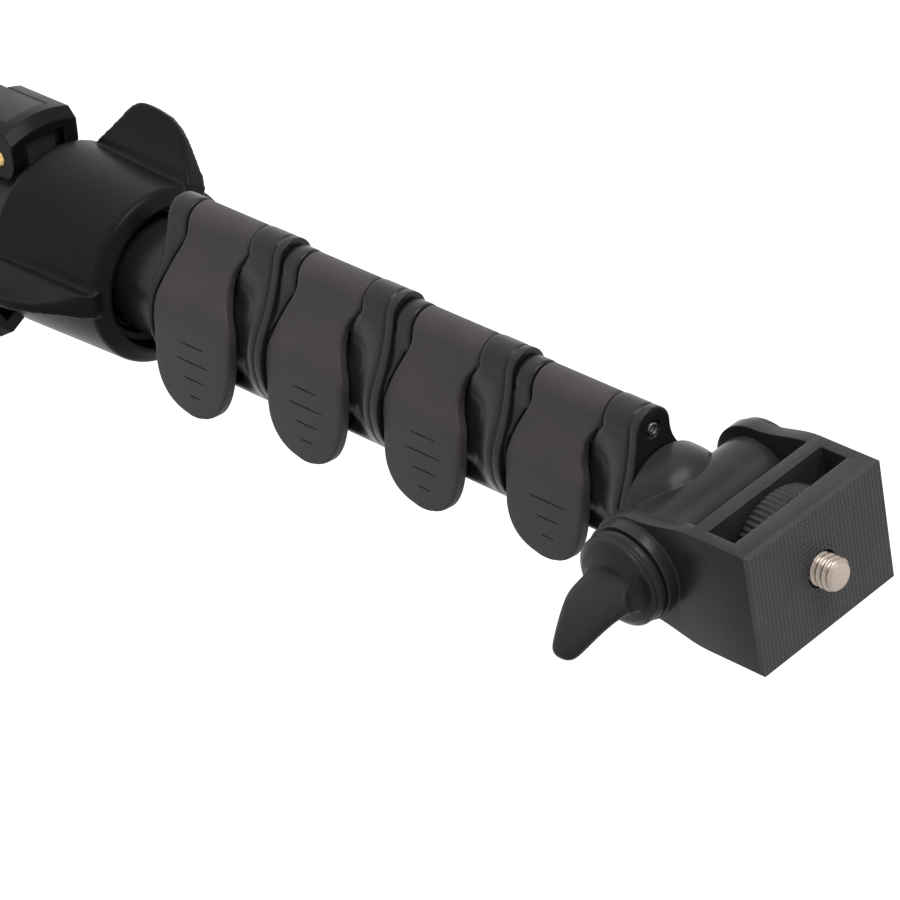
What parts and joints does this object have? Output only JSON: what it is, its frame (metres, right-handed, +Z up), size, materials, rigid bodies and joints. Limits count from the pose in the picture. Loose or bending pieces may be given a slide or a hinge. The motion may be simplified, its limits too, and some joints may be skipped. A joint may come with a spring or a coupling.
{
  "type": "camera tripod",
  "caption": "Folded camera tripod with a telescoping pole, flip lever collars, a slotted tilt head with a camera screw, a winged twist collar and hinged channel legs.",
  "frame": {"origin": "on the pole's axis, in the plane that the three folded feet stand on", "axes": "+Z up the pole to the camera screw, +X to the wing knob along the tilt axis, +Y away from the lever hinges"},
  "size_m": [0.0596, 0.0535, 0.4061],
  "materials": {
    "hub_casting": "satin black",
    "collet_nylon": "black nylon",
    "twist_plastic": "satin charcoal moulding",
    "foot_rubber": "matt black rubber",
    "head_metal": "satin black paint",
    "pad_rubber": "pebbled black rubber",
    "wheel_plastic": "ribbed black plastic",
    "screw_steel": "nickel plated",
    "pin_steel": "bright steel",
    "guide_nylon": "natural nylon",
    "knob_plastic": "satin black moulding",
    "leg_top_plastic": "satin black moulding",
    "leg_aluminium": "dark anodised",
    "pin_brass": "bright brass",
    "tube_aluminium": "dark anodised",
    "collar_plastic": "satin black moulding",
    "lever_plastic": "matt brownish grey moulding"
  },
  "bodies": {
    "hub": {"hub": "hub_casting", "collet": "collet_nylon"},
    "twist_collar": {"twist_collar": "twist_plastic"},
    "leg_1": {"leg_top_1": "leg_top_plastic", "leg_1": "leg_aluminium", "leg_foot_1": "foot_rubber", "leg_pin_1": "pin_brass"},
    "leg_2": {"leg_top_2": "leg_top_plastic", "leg_2": "leg_aluminium", "leg_foot_2": "foot_rubber", "leg_pin_2": "pin_brass"},
    "leg_3": {"leg_top_3": "leg_top_plastic", "leg_3": "leg_aluminium", "leg_foot_3": "foot_rubber", "leg_pin_3": "pin_brass"},
    "section_1": {"tube_1": "tube_aluminium", "pole_plug": "foot_rubber", "collar_1": "collar_plastic", "hinge_pin_1": "pin_steel", "brake_shoe_1": "guide_nylon"},
    "section_2": {"tube_2": "tube_aluminium", "sleeve_2": "guide_nylon", "collar_2": "collar_plastic", "hinge_pin_2": "pin_steel", "brake_shoe_2": "guide_nylon"},
    "section_3": {"tube_3": "tube_aluminium", "sleeve_3": "guide_nylon", "collar_3": "collar_plastic", "hinge_pin_3": "pin_steel", "brake_shoe_3": "guide_nylon"},
    "section_4": {"tube_4": "tube_aluminium", "sleeve_4": "guide_nylon", "collar_4": "collar_plastic", "hinge_pin_4": "pin_steel", "brake_shoe_4": "guide_nylon"},
    "section_5": {"tube_5": "tube_aluminium", "sleeve_5": "guide_nylon", "tee": "head_metal", "washer_near": "guide_nylon", "washer_far": "guide_nylon"},
    "lever_1": {"lever_1": "lever_plastic"},
    "lever_2": {"lever_2": "lever_plastic"},
    "lever_3": {"lever_3": "lever_plastic"},
    "lever_4": {"lever_4": "lever_plastic"},
    "head": {"head_bracket": "head_metal", "rubber_pad": "pad_rubber", "tilt_bolt": "pin_steel"},
    "camera_screw": {"thumbwheel": "wheel_plastic", "camera_screw": "screw_steel"},
    "wing_knob": {"wing_knob": "knob_plastic"}
  },
  "joints": [
    {"name": "twist_collar_turn", "type": "hinge", "parent": "hub", "child": "twist_collar", "pos_m": [0, 0, 0.202], "axis": [0, 0, 1], "range_deg": [0, 90]},
    {"name": "leg_1_spread", "type": "hinge", "parent": "hub", "child": "leg_1", "pos_m": [-0.00192, -0.01709, 0.1948], "axis": [-0.9938, 0.1115, 0], "range_deg": [0, 36]},
    {"name": "leg_2_spread", "type": "hinge", "parent": "hub", "child": "leg_2", "pos_m": [0.01576, 0.00689, 0.1948], "axis": [0.4003, -0.9164, 0], "range_deg": [0, 36]},
    {"name": "leg_3_spread", "type": "hinge", "parent": "hub", "child": "leg_3", "pos_m": [-0.01384, 0.01021, 0.1948], "axis": [0.5934, 0.8049, 0], "range_deg": [0, 36]},
    {"name": "column_slide", "type": "slide", "parent": "hub", "child": "section_1", "axis": [0, 0, 1], "range_m": [0, 0.16]},
    {"name": "section_2_slide", "type": "slide", "parent": "section_1", "child": "section_2", "axis": [0, 0, 1], "range_m": [0, 0.2]},
    {"name": "section_3_slide", "type": "slide", "parent": "section_2", "child": "section_3", "axis": [0, 0, 1], "range_m": [0, 0.2]},
    {"name": "section_4_slide", "type": "slide", "parent": "section_3", "child": "section_4", "axis": [0, 0, 1], "range_m": [0, 0.2]},
    {"name": "section_5_slide", "type": "slide", "parent": "section_4", "child": "section_5", "axis": [0, 0, 1], "range_m": [0, 0.2]},
    {"name": "lever_1_flip", "type": "hinge", "parent": "section_1", "child": "lever_1", "pos_m": [0.00025, -0.0188, 0.2573], "axis": [0, 0, -1], "range_deg": [0, 100]},
    {"name": "lever_2_flip", "type": "hinge", "parent": "section_2", "child": "lever_2", "pos_m": [0.00025, -0.0176, 0.28754], "axis": [0, 0, -1], "range_deg": [0, 100]},
    {"name": "lever_3_flip", "type": "hinge", "parent": "section_3", "child": "lever_3", "pos_m": [0.00025, -0.0164, 0.31778], "axis": [0, 0, -1], "range_deg": [0, 100]},
    {"name": "lever_4_flip", "type": "hinge", "parent": "section_4", "child": "lever_4", "pos_m": [0.00025, -0.0152, 0.34802], "axis": [0, 0, -1], "range_deg": [0, 100]},
    {"name": "head_tilt", "type": "hinge", "parent": "section_5", "child": "head", "pos_m": [0, 0, 0.37472], "axis": [-1, 0, 0], "range_deg": [-70, 90]},
    {"name": "wing_knob_turn", "type": "hinge", "parent": "head", "child": "wing_knob", "pos_m": [0.0225, 0, 0.37472], "axis": [1, 0, 0], "range_deg": [-90, 90]},
    {"name": "camera_screw_turn", "type": "hinge", "parent": "head", "child": "camera_screw", "pos_m": [0, 0, 0.39372], "axis": [0, 0, 1], "continuous": true}
  ]
}
